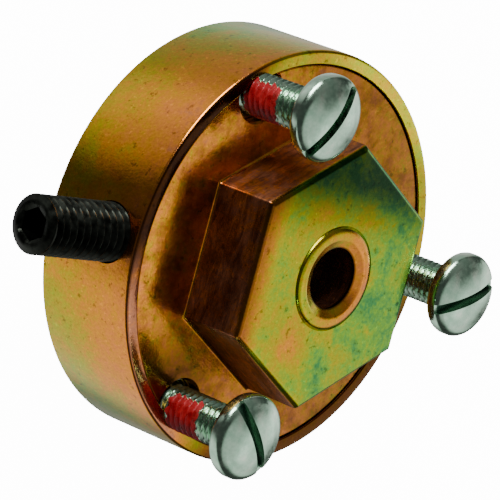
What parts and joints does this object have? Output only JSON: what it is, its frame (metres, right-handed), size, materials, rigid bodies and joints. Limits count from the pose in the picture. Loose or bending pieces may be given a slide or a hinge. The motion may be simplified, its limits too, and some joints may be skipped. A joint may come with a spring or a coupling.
{
  "type": "oldham coupling",
  "caption": "Short round shaft coupling with a bolted hexagon drive flange, a radial clamping set screw and a sliding tongue disc that takes up small shaft offsets.",
  "frame": {"origin": "middle of the outline of the whole part, on the body's flat rear face; the coupling's axis is vertical, 6.05 mm on the -X side of the origin", "axes": "+Z along the coupling's axis, from the rear face towards the hexagon; +X along the set screw, outwards; +Y completes the frame"},
  "size_m": [0.0738, 0.058, 0.0312],
  "materials": {
    "gold_zinc": "steel with iridescent yellow chromate zinc plating",
    "clear_zinc": "steel with bright clear zinc plating",
    "black_oxide": "steel with black oxide, slightly oily",
    "spring_steel": "dark phosphated spring steel",
    "red_patch": "dried red thread-locking patch"
  },
  "bodies": {
    "hub": {"hub_body": "gold_zinc", "hex_flange": "gold_zinc", "retaining_ring": "spring_steel"},
    "slider": {"slider": "black_oxide"},
    "output": {"output_hub": "gold_zinc"},
    "set_screw": {"set_screw": "black_oxide"},
    "flange_screw_1": {"flange_screw_1": "clear_zinc", "thread_patch_1": "red_patch"},
    "flange_screw_2": {"flange_screw_2": "clear_zinc", "thread_patch_2": "red_patch"},
    "flange_screw_3": {"flange_screw_3": "clear_zinc", "thread_patch_3": "red_patch"}
  },
  "joints": [
    {"name": "slider_slide", "type": "slide", "parent": "hub", "child": "slider", "axis": [0, 1, 0], "range_m": [-0.0008, 0.0008]},
    {"name": "output_slide", "type": "slide", "parent": "slider", "child": "output", "axis": [1, 0, 0], "range_m": [-0.0008, 0.0008]},
    {"name": "set_screw_thread", "type": "slide", "parent": "hub", "child": "set_screw", "axis": [1, 0, 0], "range_m": [-0.0134, 0.008]},
    {"name": "flange_screw_1_thread", "type": "slide", "parent": "hub", "child": "flange_screw_1", "axis": [0, 0, 1], "range_m": [-0.0103, 0.0025]},
    {"name": "flange_screw_2_thread", "type": "slide", "parent": "hub", "child": "flange_screw_2", "axis": [0, 0, 1], "range_m": [-0.0111, 0.0017]},
    {"name": "flange_screw_3_thread", "type": "slide", "parent": "hub", "child": "flange_screw_3", "axis": [0, 0, 1], "range_m": [-0.0103, 0.0025]}
  ]
}
